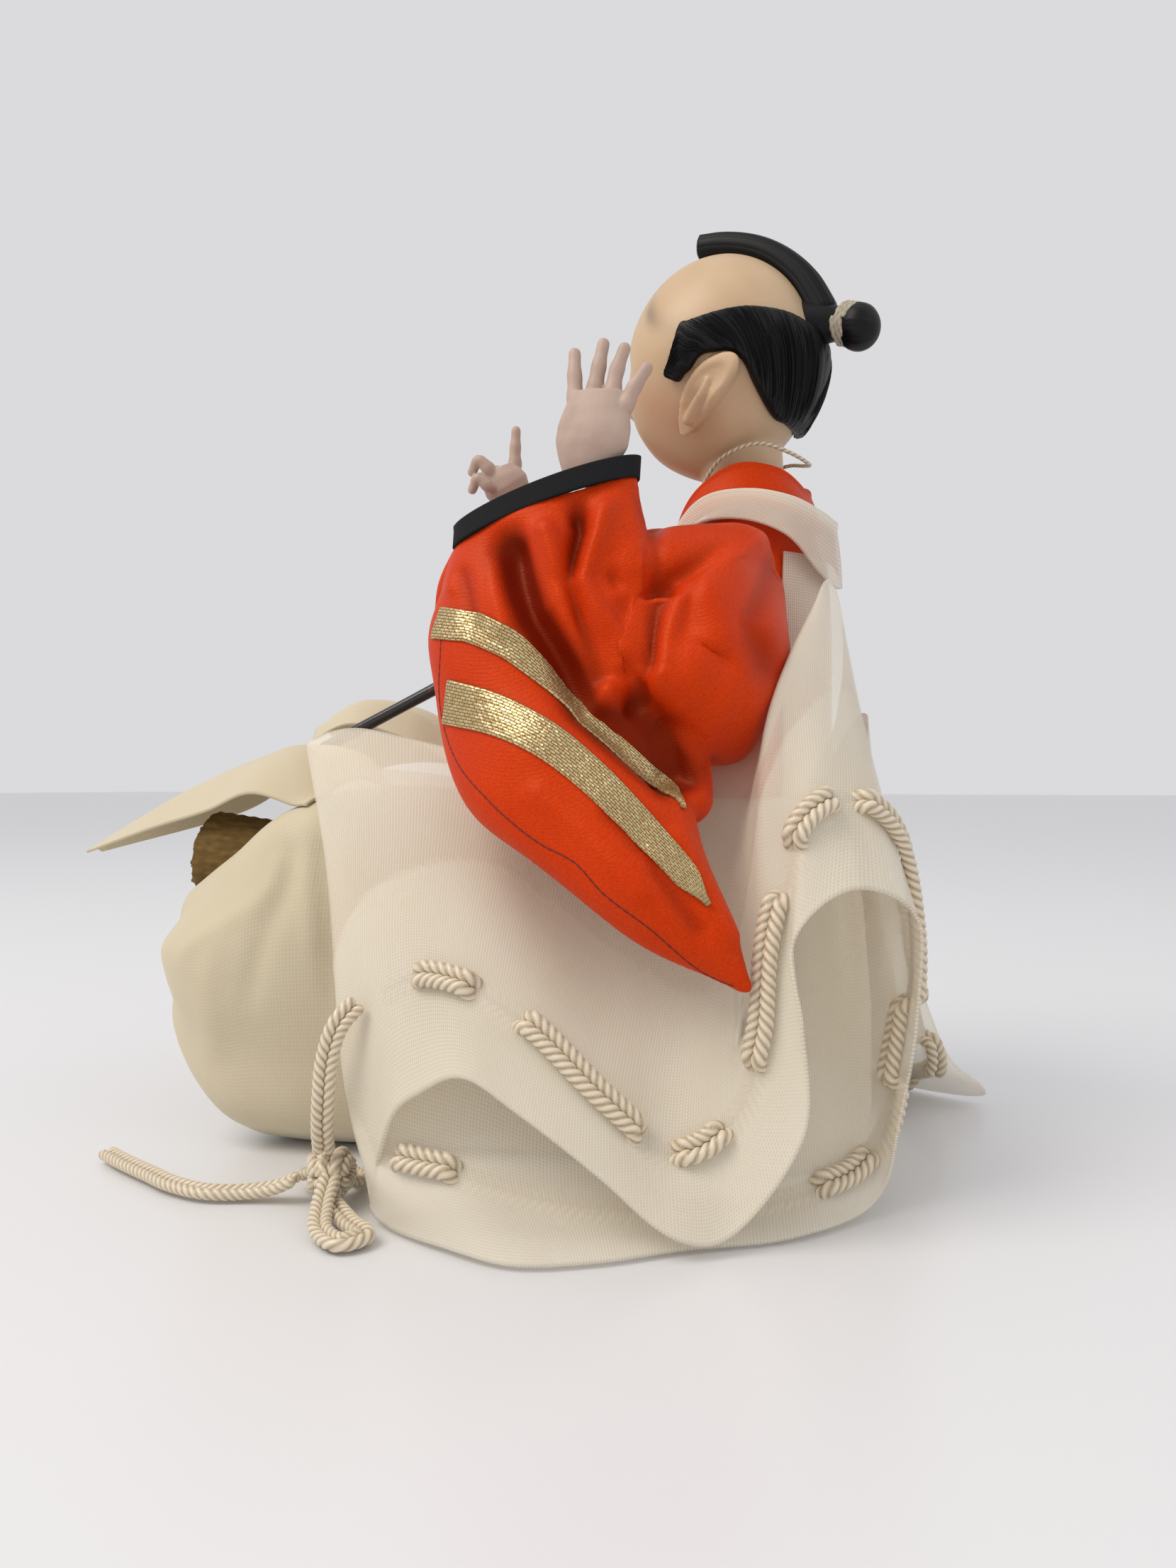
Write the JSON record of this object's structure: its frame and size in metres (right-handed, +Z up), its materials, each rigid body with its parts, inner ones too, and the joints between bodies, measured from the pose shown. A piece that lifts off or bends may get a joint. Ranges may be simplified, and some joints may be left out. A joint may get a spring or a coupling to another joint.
{
  "type": "seated hina doll",
  "caption": "Seated male court attendant festival doll with shaved crown, padded satin kimono and wide sheer sleeves laced with thick cord.",
  "frame": {"origin": "on the underside of the wooden seat block, straight below the neck", "axes": "+Z up from the table, -Y the way the doll faces, +X to the doll's left"},
  "size_m": [0.1824, 0.1842, 0.201],
  "materials": {
    "gofun_skin": "matte chalk-white paint tinted peach",
    "black_silk_hair": "combed silk with a soft shine",
    "tie_paper": "twisted paper cord, matte",
    "orange_satin": "satin weave, glossy along the folds",
    "ivory_gauze": "sheer leno gauze, matte",
    "ivory_cotton": "plain matte cloth",
    "gold_braid": "woven metal thread, sparkling",
    "black_facing": "matte black cloth",
    "cream_cord": "twisted silk, silky",
    "straw": "bound straw, matte",
    "paulownia": "bare wood",
    "iron_wire": "dull wire",
    "black_lacquer": "polished lacquer"
  },
  "bodies": {
    "root": {"head": "gofun_skin", "kimono_body": "orange_satin", "kimono_collar": "orange_satin", "lacquer_stick": "black_lacquer", "left_arm_wire": "iron_wire", "left_cord_drop": "cream_cord", "left_cord_knot": "cream_cord", "left_cord_tail": "cream_cord", "left_cuff": "black_facing", "left_front_flap": "ivory_cotton", "left_hand": "gofun_skin", "left_kimono_sleeve": "orange_satin", "left_leg_core": "straw", "left_lower_braid": "gold_braid", "left_robe_sleeve": "ivory_gauze", "left_sleeve_lacing": "cream_cord", "left_trouser_leg": "ivory_cotton", "left_upper_braid": "gold_braid", "neck_cord": "cream_cord", "neck_peg": "paulownia", "right_arm_wire": "iron_wire", "right_cuff": "black_facing", "right_front_flap": "ivory_cotton", "right_hand": "gofun_skin", "right_kimono_sleeve": "orange_satin", "right_leg_core": "straw", "right_lower_braid": "gold_braid", "right_robe_sleeve": "ivory_gauze", "right_sleeve_lacing": "cream_cord", "right_trouser_leg": "ivory_cotton", "right_upper_braid": "gold_braid", "robe_body": "ivory_gauze", "robe_collar": "ivory_gauze", "seat_block": "paulownia", "side_hair": "black_silk_hair", "topknot_bun": "black_silk_hair", "topknot_strip": "black_silk_hair", "topknot_tie": "tie_paper", "torso_core": "straw", "trouser_seat": "ivory_cotton", "waist_sash": "ivory_cotton"}
  },
  "joints": []
}
